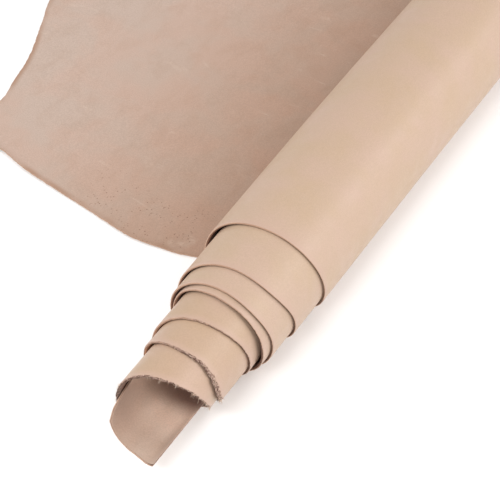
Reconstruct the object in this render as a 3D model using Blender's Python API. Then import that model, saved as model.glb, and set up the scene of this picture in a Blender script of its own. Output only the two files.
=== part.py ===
"""A side of vegetable-tanned leather, wound into a loose roll with its outer end laid flat.

It is one sheet. The flat end lies on the floor with its flesh face up, passes under the roll,
and winds up the right of it, over the top and down the left, eight times, with the grain face out.
The belly edge is at the near end, where the turns step out one from another down to a tongue.
The straight backbone cut is at the far end.

The sheet is modelled in the roll's own axes, in metres: the roll runs along +Y above x = 0, the
floor is z = 0, and the flat end lies towards -X. The object's location then centres it.
"""

import math
from collections import namedtuple

import bmesh
import bpy

# The sheet
THICKNESS = 0.0024
PALE_LEATHER = (0.66, 0.49, 0.36, 1.0)
ROUGHNESS = 0.62
SHARP_EDGE = math.radians(40)

# The roll: each turn lies one pitch above the last where it touches, at the bottom
PITCH = 0.0029
STEPS_PER_QUARTER = 12
LANDING = 0.01  # the part of a turn that its flat spot counts as

# The far end, on the backbone cut
BACKBONE = 0.980
TELESCOPE = 0.0025  # how far each turn draws in at the backbone

# Where the middle of the whole sheet's box lies in the roll's axes
CENTRE_X = -0.1942
CENTRE_Y = 0.5031

# How far left of the middle each turn lands on the one below and how far right of it lifts off, and
# how far it then reaches right, left and up, from the outside in. The sheet ends early in the last
Turn = namedtuple("Turn", "lands lifts right left top")
TURNS = (
    Turn(0.0120, 0.0120, 0.0590, 0.0590, 0.1130),
    Turn(0.0115, 0.0122, 0.0562, 0.0530, 0.1101),
    Turn(0.0110, 0.0124, 0.0534, 0.0490, 0.1072),
    Turn(0.0105, 0.0131, 0.0506, 0.0445, 0.1043),
    Turn(0.0100, 0.0151, 0.0445, 0.0400, 0.1005),
    Turn(0.0090, 0.0156, 0.0417, 0.0365, 0.0976),
    Turn(0.0065, 0.0169, 0.0372, 0.0315, 0.0945),
    Turn(0.0040, 0.0168, 0.0343, 0.0284, 0.0905),
    Turn(0.0020, 0.0130, 0.0340, 0.0220, 0.0860),
)

# How far along the roll the belly edge of each turn but the innermost lies, and after which part
# of the turn
Belly = namedtuple("Belly", "under right shoulder top left foot")
BELLY_AT = Belly(0.10, 0.25, 0.375, 0.50, 0.70, 0.85)
BELLY = (
    Belly(0.2720, 0.2600, 0.2530, 0.2495, 0.2460, 0.2380),
    Belly(0.2230, 0.2110, 0.1980, 0.1950, 0.1885, 0.1850),
    Belly(0.1810, 0.1765, 0.1705, 0.1705, 0.1690, 0.1700),
    Belly(0.1700, 0.1645, 0.1635, 0.1635, 0.1665, 0.1650),
    Belly(0.1600, 0.1515, 0.1415, 0.1335, 0.1250, 0.1230),
    Belly(0.1235, 0.1065, 0.1040, 0.1000, 0.1045, 0.1080),
    Belly(0.1100, 0.0895, 0.0740, 0.0630, 0.0550, 0.0630),
)

# The innermost turn's edge and the tongue, which runs straight from each of these to the next:
# after how many turns, and how far along the roll
Cut = namedtuple("Cut", "turns y")
TONGUE = (
    Cut(7.100, 0.1250),
    Cut(7.250, 0.1380),
    Cut(7.400, 0.1290),
    Cut(7.500, 0.1120),
    Cut(7.700, 0.0690),
    Cut(7.760, 0.0450),
    Cut(7.800, 0.0365),
    Cut(7.947, 0.0342),
    Cut(7.990, 0.0328),
    Cut(8.000, 0.0292),
    Cut(8.105, 0.0262),
)

# The flat end's outline, from under the roll round the shank and the rump to the backbone
Point = namedtuple("Point", "name x y")
FLAT_OUTLINE = (
    Point("under the roll", 0.000, 0.286),
    Point("under the roll", -0.055, 0.290),
    Point("leaves the roll", -0.103, 0.2775),
    Point("belly", -0.127, 0.2735),
    Point("belly", -0.162, 0.2715),
    Point("flank", -0.225, 0.2835),
    Point("flank", -0.289, 0.2945),
    Point("shank root", -0.313, 0.301),
    Point("shank", -0.337, 0.308),
    Point("shank", -0.358, 0.302),
    Point("shank end", -0.392, 0.271),
    Point("shank end", -0.428, 0.307),
    Point("shank", -0.396, 0.339),
    Point("shank", -0.379, 0.367),
    Point("shank root", -0.386, 0.405),
    Point("rump", -0.395, 0.444),
    Point("rump", -0.414, 0.494),
    Point("rump", -0.431, 0.545),
    Point("rump", -0.447, 0.680),
    Point("rump", -0.440, 0.830),
    Point("tail corner", -0.405, BACKBONE),
)
CORNERS = ("shank end", "tail corner")
OUTLINE_STEPS = 3

# A quarter of an ellipse in the section: its centre, and how wide and high it is
Quarter = namedtuple("Quarter", "x z width height")


def quarters(number):
    """A turn's four quarters: from its bottom to its right, its top, its left and the next bottom."""
    turn = TURNS[number]
    lands = TURNS[min(number + 1, len(TURNS) - 1)].lands
    floor = number * PITCH
    middle = (floor + turn.top) / 2
    left_middle = middle + PITCH / 2
    return (
        Quarter(turn.lifts, middle, turn.right - turn.lifts, middle - floor),
        Quarter(0.0, middle, turn.right, turn.top - middle),
        Quarter(0.0, left_middle, turn.left, turn.top - left_middle),
        Quarter(-lands, left_middle, turn.left - lands, left_middle - floor - PITCH),
    )


def winding():
    """The grain face's section, as (turns, x, z) from under the roll to the end of the tongue."""
    path = [(0.0, 0.0, 0.0)]
    for number, turn in enumerate(TURNS):
        if number:
            path.append((number - LANDING, -turn.lands, number * PITCH))
        for index, quarter in enumerate(quarters(number)):
            for step in range(STEPS_PER_QUARTER):
                turns = number + (index + step / STEPS_PER_QUARTER) / 4
                angle = 2 * math.pi * turns
                x = quarter.x + quarter.width * math.sin(angle)
                z = quarter.z - quarter.height * math.cos(angle)
                path.append((turns, x, z))
    return [place for place in path if place[0] <= TONGUE[-1].turns]


def belly_knots():
    """(turns, y) along the belly edge, from under the roll to the tongue's end."""
    knots = [(0.0, FLAT_OUTLINE[0].y)]
    for number, belly in enumerate(BELLY):
        knots += [(number + part, y) for part, y in zip(BELLY_AT, belly)]
    return knots + list(TONGUE)


def slope_at(knots, index):
    """The belly edge's slope at a knot, from the knots on either side of it."""
    low = knots[max(index - 1, 0)]
    high = knots[min(index + 1, len(knots) - 1)]
    return (high[1] - low[1]) / (high[0] - low[0])


def belly_y(turns, knots):
    """How far along the roll the belly edge lies after so many turns: straight in the tongue."""
    index = sum(knot[0] <= turns for knot in knots[1:-1])
    (start, low), (end, high) = knots[index], knots[index + 1]
    span = end - start
    t = (turns - start) / span
    if index >= len(knots) - len(TONGUE) - 1:
        return low + (high - low) * t
    return (
        low * (1 + 2 * t) * (1 - t) ** 2
        + slope_at(knots, index) * span * t * (1 - t) ** 2
        + high * t**2 * (3 - 2 * t)
        + slope_at(knots, index + 1) * span * t**2 * (t - 1)
    )


def curve_through(before, start, end, after, t):
    """The value at t, from 0 to 1, between start and end on a smooth curve through four values."""
    return 0.5 * (
        2 * start
        + (end - before) * t
        + (2 * before - 5 * start + 4 * end - after) * t**2
        + (3 * start - before - 3 * end + after) * t**3
    )


def flat_outline():
    """(x, y) round the flat end, smooth but for its cut corners."""
    corners = [point.name in CORNERS for point in FLAT_OUTLINE]
    last = len(FLAT_OUTLINE) - 1
    outline = []
    for index in range(last):
        start, end = FLAT_OUTLINE[index], FLAT_OUTLINE[index + 1]
        before = start if corners[index] else FLAT_OUTLINE[max(index - 1, 0)]
        after = end if corners[index + 1] else FLAT_OUTLINE[index + 2]
        straight = corners[index] and corners[index + 1]
        steps = 1 if straight else OUTLINE_STEPS
        for step in range(steps):
            t = step / steps
            x = curve_through(before.x, start.x, end.x, after.x, t)
            y = curve_through(before.y, start.y, end.y, after.y, t)
            outline.append((x, y))
    outline.append((FLAT_OUTLINE[last].x, FLAT_OUTLINE[last].y))
    return outline


def grain_face():
    """The sheet's grain face: the flat end, and a strip for each step of the winding."""
    mesh = bmesh.new()
    knots = belly_knots()
    near = []
    far = []
    for turns, x, z in winding():
        near.append(mesh.verts.new((x, belly_y(turns, knots), z)))
        far.append(mesh.verts.new((x, BACKBONE - TELESCOPE * turns, z)))
    for index in range(len(near) - 1):
        mesh.faces.new((near[index], far[index], far[index + 1], near[index + 1]))
    edge = [mesh.verts.new((x, y, 0.0)) for x, y in flat_outline()[1:]]
    mesh.faces.new([near[0], *edge, far[0]])
    data = bpy.data.meshes.new("leather_side")
    mesh.to_mesh(data)
    mesh.free()
    return data


def leather():
    """The material: pale, undyed leather."""
    material = bpy.data.materials.new("leather")
    material.use_nodes = True
    surface = material.node_tree.nodes["Principled BSDF"]
    surface.inputs["Base Color"].default_value = PALE_LEATHER
    surface.inputs["Roughness"].default_value = ROUGHNESS
    surface.inputs["Metallic"].default_value = 0.0
    return material


def leather_side():
    """The whole sheet, with its thickness laid inwards from the grain face to the flesh face."""
    side = bpy.data.objects.new("leather_side", grain_face())
    bpy.context.scene.collection.objects.link(side)
    side.data.materials.append(leather())
    side.data.shade_smooth()
    side.data.set_sharp_from_angle(angle=SHARP_EDGE)
    side.location = (-CENTRE_X, -CENTRE_Y, 0.0)
    thickness = side.modifiers.new("thickness", "SOLIDIFY")
    thickness.thickness = THICKNESS
    thickness.offset = -1.0
    thickness.use_even_offset = True
    thickness.use_quality_normals = True


for leftover in list(bpy.data.objects):
    bpy.data.objects.remove(leftover)
leather_side()
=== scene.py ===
"""A side of vegetable-tanned leather in a loose roll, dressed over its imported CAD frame.

The sheet is made again from the same section and outline as the solid, with finer columns, a
worked rim and three finishes: the smooth grain face, the napped flesh face and the raw cut edge.
Loose fibres grow out of the cut edge where it is frayed. Everything is in metres. The shape is
worked out in the roll's own axes, in which the roll runs along +Y above x = 0 and the flat end
lies towards -X, and is then moved to the frame's.
"""

import logging
import math
from dataclasses import dataclass, field
from enum import Enum, IntEnum
from typing import NamedTuple

import bmesh
import bpy
import numpy as np
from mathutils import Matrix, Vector
from mathutils.geometry import delaunay_2d_cdt


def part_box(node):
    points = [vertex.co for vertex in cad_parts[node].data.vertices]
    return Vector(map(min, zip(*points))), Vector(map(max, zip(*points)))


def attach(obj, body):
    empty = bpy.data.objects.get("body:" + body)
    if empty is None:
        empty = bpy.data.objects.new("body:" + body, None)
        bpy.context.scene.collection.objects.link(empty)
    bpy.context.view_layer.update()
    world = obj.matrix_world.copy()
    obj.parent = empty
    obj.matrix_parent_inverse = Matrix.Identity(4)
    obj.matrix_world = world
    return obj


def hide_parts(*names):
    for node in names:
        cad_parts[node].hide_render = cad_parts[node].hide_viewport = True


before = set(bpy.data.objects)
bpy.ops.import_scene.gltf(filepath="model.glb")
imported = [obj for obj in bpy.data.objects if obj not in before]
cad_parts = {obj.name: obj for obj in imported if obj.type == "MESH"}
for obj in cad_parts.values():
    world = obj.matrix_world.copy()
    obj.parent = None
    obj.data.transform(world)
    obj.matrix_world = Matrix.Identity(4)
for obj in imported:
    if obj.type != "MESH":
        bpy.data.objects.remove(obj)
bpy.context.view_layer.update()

LOG = logging.getLogger("leather")
NODE = "leather_side"
BODY = "root"
SHEET_UV = "sheet"
RIM = "rim"
FRAY = "fray"
# The edge's dark share beside the flesh face: its darker flesh side and painted shade.
EDGE_DARK_AND_SHADE = "under"

Color = tuple[float, float, float, float]
Triple = tuple[float, float, float]
Numbers = float | np.ndarray
Socket = bpy.types.NodeSocket
Value = Socket | bpy.types.Material | str | float | tuple[float, ...]


class Face(IntEnum):
    """The sheet's material slots, by the kind of face."""

    GRAIN = 0
    FLESH = 1
    CUT = 2


class Turn(NamedTuple):
    """How far left of the middle a turn lands, how far right it lifts off, and how far it reaches."""

    lands: float
    lifts: float
    right: float
    left: float
    top: float


class Belly(NamedTuple):
    """How far along the roll a turn's belly edge lies, at six parts of the turn."""

    under: float
    right: float
    shoulder: float
    top: float
    left: float
    foot: float


class Cut(NamedTuple):
    """A corner of the tongue's cut: after how many turns, and how far along the roll."""

    turns: float
    y: float


class Quarter(NamedTuple):
    """A quarter of an ellipse in the section: its centre, and how wide and high it is."""

    x: float
    z: float
    width: float
    height: float


class Place(NamedTuple):
    """A named point of the flat end's outline."""

    name: str
    x: float
    y: float


class State(NamedTuple):
    """The belly's cut edge after so many turns.

    It is frayed from 0 to 1, slanted in metres, and dark in a further share of its thickness, which
    is painted shade.
    """

    turns: float
    fray: float
    slant: float
    dark: float = 0.0


# From the outside in. The sheet ends early in the last.
TURNS = (
    Turn(0.0120, 0.0120, 0.0590, 0.0590, 0.1130),
    Turn(0.0115, 0.0122, 0.0562, 0.0530, 0.1101),
    Turn(0.0110, 0.0124, 0.0534, 0.0490, 0.1072),
    Turn(0.0105, 0.0131, 0.0506, 0.0445, 0.1043),
    Turn(0.0100, 0.0151, 0.0445, 0.0400, 0.1005),
    Turn(0.0090, 0.0156, 0.0417, 0.0365, 0.0976),
    Turn(0.0065, 0.0169, 0.0372, 0.0315, 0.0945),
    Turn(0.0040, 0.0168, 0.0343, 0.0284, 0.0905),
    Turn(0.0020, 0.0130, 0.0340, 0.0220, 0.0860),
)

# After which part of a turn each of these is read, and the edge of all turns but the innermost.
BELLY_AT = Belly(0.10, 0.25, 0.375, 0.50, 0.70, 0.85)
BELLY = (
    Belly(0.2720, 0.2600, 0.2530, 0.2495, 0.2460, 0.2380),
    Belly(0.2230, 0.2110, 0.1980, 0.1950, 0.1885, 0.1850),
    Belly(0.1810, 0.1765, 0.1705, 0.1705, 0.1690, 0.1700),
    Belly(0.1700, 0.1645, 0.1635, 0.1635, 0.1665, 0.1650),
    Belly(0.1600, 0.1515, 0.1415, 0.1335, 0.1250, 0.1230),
    Belly(0.1235, 0.1065, 0.1040, 0.1000, 0.1045, 0.1080),
    Belly(0.1100, 0.0895, 0.0740, 0.0630, 0.0550, 0.0630),
)

# The innermost turn's edge, which runs straight from each of these to the next.
TONGUE = (
    Cut(7.100, 0.1250),
    Cut(7.250, 0.1380),
    Cut(7.400, 0.1290),
    Cut(7.500, 0.1120),
    Cut(7.700, 0.0690),
    Cut(7.760, 0.0450),
    Cut(7.800, 0.0365),
    Cut(7.947, 0.0342),
    Cut(7.990, 0.0328),
    Cut(8.000, 0.0292),
    Cut(8.105, 0.0262),
)

# The flat end, from under the roll round the shank and the rump to the backbone.
OUTLINE = (
    Place("under the roll", 0.000, 0.286),
    Place("under the roll", -0.055, 0.290),
    Place("leaves the roll", -0.103, 0.2775),
    Place("belly", -0.127, 0.2735),
    Place("belly", -0.162, 0.2715),
    Place("flank", -0.225, 0.2835),
    Place("flank", -0.289, 0.2945),
    Place("shank root", -0.313, 0.301),
    Place("shank", -0.337, 0.308),
    Place("shank", -0.358, 0.302),
    Place("shank end", -0.392, 0.271),
    Place("shank end", -0.428, 0.307),
    Place("shank", -0.396, 0.339),
    Place("shank", -0.379, 0.367),
    Place("shank root", -0.386, 0.405),
    Place("rump", -0.395, 0.444),
    Place("rump", -0.414, 0.494),
    Place("rump", -0.431, 0.545),
    Place("rump", -0.447, 0.680),
    Place("rump", -0.440, 0.830),
    Place("tail corner", -0.405, 0.980),
    Place("backbone", 0.000, 0.980),
)
OUTLINE_CORNERS = ("shank end", "tail corner", "backbone")

# From under the roll to the end of the tongue.
EDGE_STATES = (
    State(0.00, 0.00, 0.0000),
    State(2.90, 0.02, 0.0001),
    State(3.10, 0.30, 0.0002),
    State(3.40, 0.22, 0.0001),
    State(3.90, 0.08, 0.0001),
    State(4.10, 0.45, 0.0004),
    State(4.45, 0.42, 0.0003),
    State(4.65, 0.25, 0.0002),
    State(5.00, 0.60, 0.0012),
    State(5.12, 0.95, 0.0034),
    State(5.28, 1.00, 0.0042),
    State(5.42, 0.70, 0.0018),
    State(5.52, 0.40, 0.0004),
    State(5.95, 0.30, 0.0004),
    State(6.12, 1.00, 0.0008, 0.10),
    State(6.45, 0.90, 0.0004, 0.45),
    State(6.56, 0.70, 0.0014, 0.45),
    State(6.68, 0.66, 0.0030, 0.30),
    State(6.80, 0.66, 0.0030, 0.30),
    State(6.92, 0.60, 0.0006, 0.20),
    State(7.60, 0.15, 0.0002),
    State(7.90, 0.05, 0.0000),
    State(8.00, 0.25, 0.0000),
    State(8.11, 0.34, 0.0000, 0.10),
)


def put(name: str, data: bpy.types.ID) -> bpy.types.Object:
    """Puts a mesh, a lamp or a camera in the scene, at the origin.

    Args:
        name: The object's name.
        data: What it shows.

    Returns:
        The object.
    """
    made = bpy.data.objects.new(name, data)
    bpy.context.scene.collection.objects.link(made)
    return made


def smooth_noise(place: np.ndarray, wavelength: float, seed: int) -> np.ndarray:
    """Smooth random values along a line.

    Args:
        place: Where each value is wanted, in metres, none below zero.
        wavelength: The distance between two random values, in metres.
        seed: The random seed.

    Returns:
        One value from -1 to 1 for each place.
    """
    steps = place / wavelength
    known = np.random.default_rng(seed).uniform(-1.0, 1.0, int(steps.max()) + 3)
    low = np.floor(steps).astype(int)
    part = steps - low
    part = part * part * (3 - 2 * part)
    return known[low] * (1 - part) + known[low + 1] * part


def running_length(line: np.ndarray) -> np.ndarray:
    """The length along a line of points, at each of them."""
    return np.concatenate([[0.0], np.cumsum(np.linalg.norm(np.diff(line, axis=0), axis=1))])


def left_normals(line: np.ndarray) -> np.ndarray:
    """Unit vectors to the left of a plane line.

    Args:
        line: The line's points.

    Returns:
        One vector for each point, halfway between those of its two steps.
    """
    steps = np.diff(line, axis=0)
    steps /= np.linalg.norm(steps, axis=1)[:, None]
    turned = np.stack([-steps[:, 1], steps[:, 0]], axis=1)
    normals = np.vstack([turned[:1], (turned[:-1] + turned[1:]) / 2, turned[-1:]])
    return normals / np.linalg.norm(normals, axis=1)[:, None]


def smooth_step(low: Numbers, high: Numbers, value: Numbers) -> np.ndarray:
    """A smooth rise from 0 to 1.

    Args:
        low: Where the rise starts.
        high: Where it ends.
        value: Where it is read.

    Returns:
        0 below low, 1 above high, and the rise between them.
    """
    part = np.clip((value - low) / (high - low), 0.0, 1.0)
    return part * part * (3 - 2 * part)


@dataclass(frozen=True)
class RolledShape:
    """The sheet's shape in the roll's own axes, by the same rules as the CAD solid."""

    thickness: float = 0.0024
    pitch: float = 0.0029
    landing: float = 0.01
    telescope: float = 0.0025
    clean_steps: int = 26
    raw_steps: int = 60
    raw_from: int = 3
    flat_spot_steps: int = 8
    outline_spacing: float = 0.0022
    curve_steps: int = 24
    corner_reach: float = 2.5

    def quarters(self, number: int) -> tuple[Quarter, ...]:
        """A turn's four quarters.

        Args:
            number: The turn, from 0 at the outside.

        Returns:
            The quarters from its bottom to its right, its top, its left and the next bottom.
        """
        turn = TURNS[number]
        lands = TURNS[min(number + 1, len(TURNS) - 1)].lands
        floor = number * self.pitch
        middle = (floor + turn.top) / 2
        left_middle = middle + self.pitch / 2
        return (
            Quarter(turn.lifts, middle, turn.right - turn.lifts, middle - floor),
            Quarter(0.0, middle, turn.right, turn.top - middle),
            Quarter(0.0, left_middle, turn.left, turn.top - left_middle),
            Quarter(-lands, left_middle, turn.left - lands, left_middle - floor - self.pitch),
        )

    def section(self) -> np.ndarray:
        """The grain face's section.

        Returns:
            Rows of turns, x and z, from under the roll to the end of the tongue.
        """
        path = [(0.0, 0.0, 0.0), (0.0, TURNS[0].lifts / 2, 0.0)]
        for number, turn in enumerate(TURNS):
            if number:
                for part in np.arange(self.flat_spot_steps) / self.flat_spot_steps:
                    x = -turn.lands + (turn.lands + turn.lifts) * part
                    path.append((number - self.landing * (1 - part), x, number * self.pitch))
            steps = self.clean_steps if number < self.raw_from else self.raw_steps
            for index, quarter in enumerate(self.quarters(number)):
                for step in range(steps):
                    turns = number + (index + step / steps) / 4
                    if turns < number + 1 - self.landing:
                        angle = 2 * math.pi * turns
                        x = quarter.x + quarter.width * math.sin(angle)
                        path.append((turns, x, quarter.z - quarter.height * math.cos(angle)))
        return np.array([place for place in path if place[0] <= TONGUE[-1].turns])

    def belly_y(self, turns: np.ndarray) -> np.ndarray:
        """How far along the roll the belly edge lies, smooth but for the tongue's straight cuts.

        Args:
            turns: After how many turns each value is wanted.

        Returns:
            The distance along the roll for each of them, in metres.
        """
        knots = [(0.0, OUTLINE[0].y)]
        for number, belly in enumerate(BELLY):
            knots += [(number + part, y) for part, y in zip(BELLY_AT, belly)]
        place, height = np.array(knots + list(TONGUE)).T
        slope = np.empty_like(height)
        slope[1:-1] = (height[2:] - height[:-2]) / (place[2:] - place[:-2])
        slope[0] = (height[1] - height[0]) / (place[1] - place[0])
        slope[-1] = (height[-1] - height[-2]) / (place[-1] - place[-2])
        low = np.clip(np.searchsorted(place, turns, side="right") - 1, 0, len(place) - 2)
        span = place[low + 1] - place[low]
        t = np.clip((turns - place[low]) / span, 0.0, 1.0)
        curve = (
            height[low] * (1 + 2 * t) * (1 - t) ** 2
            + slope[low] * span * t * (1 - t) ** 2
            + height[low + 1] * t**2 * (3 - 2 * t)
            + slope[low + 1] * span * t**2 * (t - 1)
        )
        straight = height[low] * (1 - t) + height[low + 1] * t
        return np.where(low >= len(place) - len(TONGUE) - 1, straight, curve)

    def outline(self) -> tuple[np.ndarray, list[int]]:
        """The flat end's outline, evenly spaced, smooth but for its cut corners.

        Returns:
            Rows of x and y, from under the roll round to the backbone above x = 0, and the
            numbers of the rows at its corners.
        """
        known = np.array([(place.x, place.y) for place in OUTLINE])
        corner = [place.name in OUTLINE_CORNERS for place in OUTLINE]
        corner[0] = True
        ends = [index for index, cut in enumerate(corner) if cut]
        t = np.linspace(0.0, 1.0, self.curve_steps)[:, None]
        stretches = []
        corners = []
        for start, end in zip(ends[:-1], ends[1:]):
            corners.append(sum(len(stretch) for stretch in stretches))
            fine = []
            for index in range(start, end):
                before = known[max(index - 1, start)]
                after = known[min(index + 2, end)]
                low, high = known[index], known[index + 1]
                curve = 0.5 * (
                    2 * low
                    + (high - before) * t
                    + (2 * before - 5 * low + 4 * high - after) * t**2
                    + (3 * low - before - 3 * high + after) * t**3
                )
                fine.append(curve[:-1])
            line = np.vstack([*fine, known[end : end + 1]])
            length = running_length(line)
            count = max(2, round(length[-1] / self.outline_spacing))
            wanted = np.linspace(0.0, length[-1], count + 1)
            even = np.stack([np.interp(wanted, length, line[:, k]) for k in (0, 1)], axis=1)
            stretches.append(even[:-1])
        return np.vstack([*stretches, known[-1:]]), corners[1:]

    def inset(self, outline: np.ndarray, corners: list[int], depth: np.ndarray) -> np.ndarray:
        """A line inside the outline, drawn together at its corners so that it never crosses itself.

        Args:
            outline: The outline.
            corners: The numbers of its corners.
            depth: How far in the line lies at each point.

        Returns:
            One point for each of the outline's.
        """
        inner = -left_normals(outline)
        line = outline + inner * depth[:, None]
        for corner in corners:
            reach = self.corner_reach * float(depth[corner]) / self.outline_spacing
            reach = max(1, round(reach))
            way = inner[corner - 1] + inner[corner + 1]
            way /= np.linalg.norm(way)
            peak = outline[corner] + way * depth[corner] / float(way @ inner[corner - 1])
            for side in (-1, 1):
                last = line[corner + side * reach]
                for step in range(reach):
                    line[corner + side * step] = peak + (last - peak) * step / reach
        return line


@dataclass(frozen=True)
class Ripple:
    """A wave through the roll's axes: its rate along each, in radians per metre, and its start."""

    x: float = 0.0
    y: float = 0.0
    z: float = 0.0
    start: float = 0.0

    def at(self, points: np.ndarray) -> np.ndarray:
        """The wave at each point, from -1 to 1."""
        return np.sin(points @ (self.x, self.y, self.z) + self.start)


@dataclass
class Unevenness:
    """How the sheet departs from its plain form: a ragged cut, a rim that lifts, and soft waves.

    The flat end is held down up to held_to left of the roll's middle, and free beyond free_from.
    """

    ragged_steps: tuple[tuple[float, float], ...] = ((0.0018, 0.75), (0.0045, 0.7), (0.014, 0.45))
    clean_ragged: float = 0.00006
    frayed_ragged: float = 0.00085
    flat_ragged: float = 0.00034
    start_ease: float = 0.03
    end_ease: float = 0.004
    held_to: float = 0.075
    free_from: float = 0.16
    rim_lift: float = 0.0018
    rim_width: float = 0.010
    rim_patches: float = 0.38
    rim_waves: tuple[Ripple, Ripple] = (Ripple(x=29.0, y=13.0, start=0.8), Ripple(x=-9.0, y=17.0))
    wave: float = 0.0011
    waves: tuple[Ripple, Ripple] = (
        Ripple(x=19.0, y=7.0),
        Ripple(x=-6.0, y=15.0, start=math.pi / 2),
    )
    sway: float = 0.0009
    sway_rise: float = 0.06
    sway_along: Ripple = Ripple(y=9.0, start=0.6)
    sway_up: Ripple = Ripple(z=23.0)
    sway_up_share: float = 0.4
    bob_share: float = 0.6
    bob: tuple[Ripple, Ripple] = (Ripple(y=12.5, start=2.1), Ripple(x=17.0, start=math.pi / 2))

    def ragged(self, along: np.ndarray, amount: np.ndarray, seed: int) -> np.ndarray:
        """How far the cut edge strays outwards along its length, in metres.

        Args:
            along: The length along the edge.
            amount: The size of the largest stray at each place.
            seed: The random seed.

        Returns:
            The stray at each place, easing to nothing at both ends.
        """
        total = sum(
            share * smooth_noise(along, wavelength, seed + number)
            for number, (wavelength, share) in enumerate(self.ragged_steps)
        )
        start = smooth_step(0.0, self.start_ease, along)
        end = smooth_step(0.0, self.end_ease, along[-1] - along)
        return total * amount * (start * end)

    def lift(self, points: np.ndarray, rim: np.ndarray) -> np.ndarray:
        """How far the flat end lifts off the floor.

        Args:
            points: The sheet's points.
            rim: How far each lies from the sheet's edge.

        Returns:
            The lift of each point, in metres.
        """
        free = smooth_step(self.held_to, self.free_from, -points[:, 0])
        rim_wave = self.rim_waves[0].at(points) * self.rim_waves[1].at(points)
        patchy = 1.0 - self.rim_patches + self.rim_patches * rim_wave
        curl = self.rim_lift * patchy * np.exp(-rim / self.rim_width)
        soft = self.wave * (0.5 + 0.5 * self.waves[0].at(points) * self.waves[1].at(points))
        return free * (curl + soft)

    def ease(self, points: np.ndarray) -> np.ndarray:
        """Moves the roll by one slow field, so that layers that lie together stay together.

        Args:
            points: The sheet's points.

        Returns:
            The moved points.
        """
        sway = self.sway * smooth_step(0.0, self.sway_rise, points[:, 2])
        steady = 1.0 - self.sway_up_share + self.sway_up_share * self.sway_up.at(points)
        bob = self.bob_share * self.bob[0].at(points) * self.bob[1].at(points)
        moved = points.copy()
        moved[:, 0] += sway * self.sway_along.at(points) * steady
        moved[:, 2] += sway * bob
        return moved


@dataclass
class SheetFace:
    """The grain face before the sheet has thickness, and what is known at each of its points.

    Attributes:
        points: The points.
        inward: The way to the flesh face.
        along: The metres along the sheet, below zero on the flat end.
        rim: The distance to the sheet's edge.
        fray: How frayed the edge is there, from 0 to 1.
        slant: How far the flesh face juts out beyond the grain face at the belly.
        set_back: How far and which way the grain face is set back at the tongue's end.
        under: The share of the edge's thickness that is dark, next to the flesh face: its darker
        flesh side and painted shade.
        opened: How far the flesh face draws towards the grain face at the rim. Below zero,
            it draws away from it.
        faces: The faces, by the numbers of their points.
        border: The numbers of the points round the border, in order.
        outward: The way out of the sheet at each of those.
    """

    points: np.ndarray
    inward: np.ndarray
    along: np.ndarray
    rim: np.ndarray
    fray: np.ndarray
    slant: np.ndarray
    set_back: np.ndarray
    under: np.ndarray
    opened: np.ndarray
    faces: list[tuple[int, ...]]
    border: list[int]
    outward: np.ndarray


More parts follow.
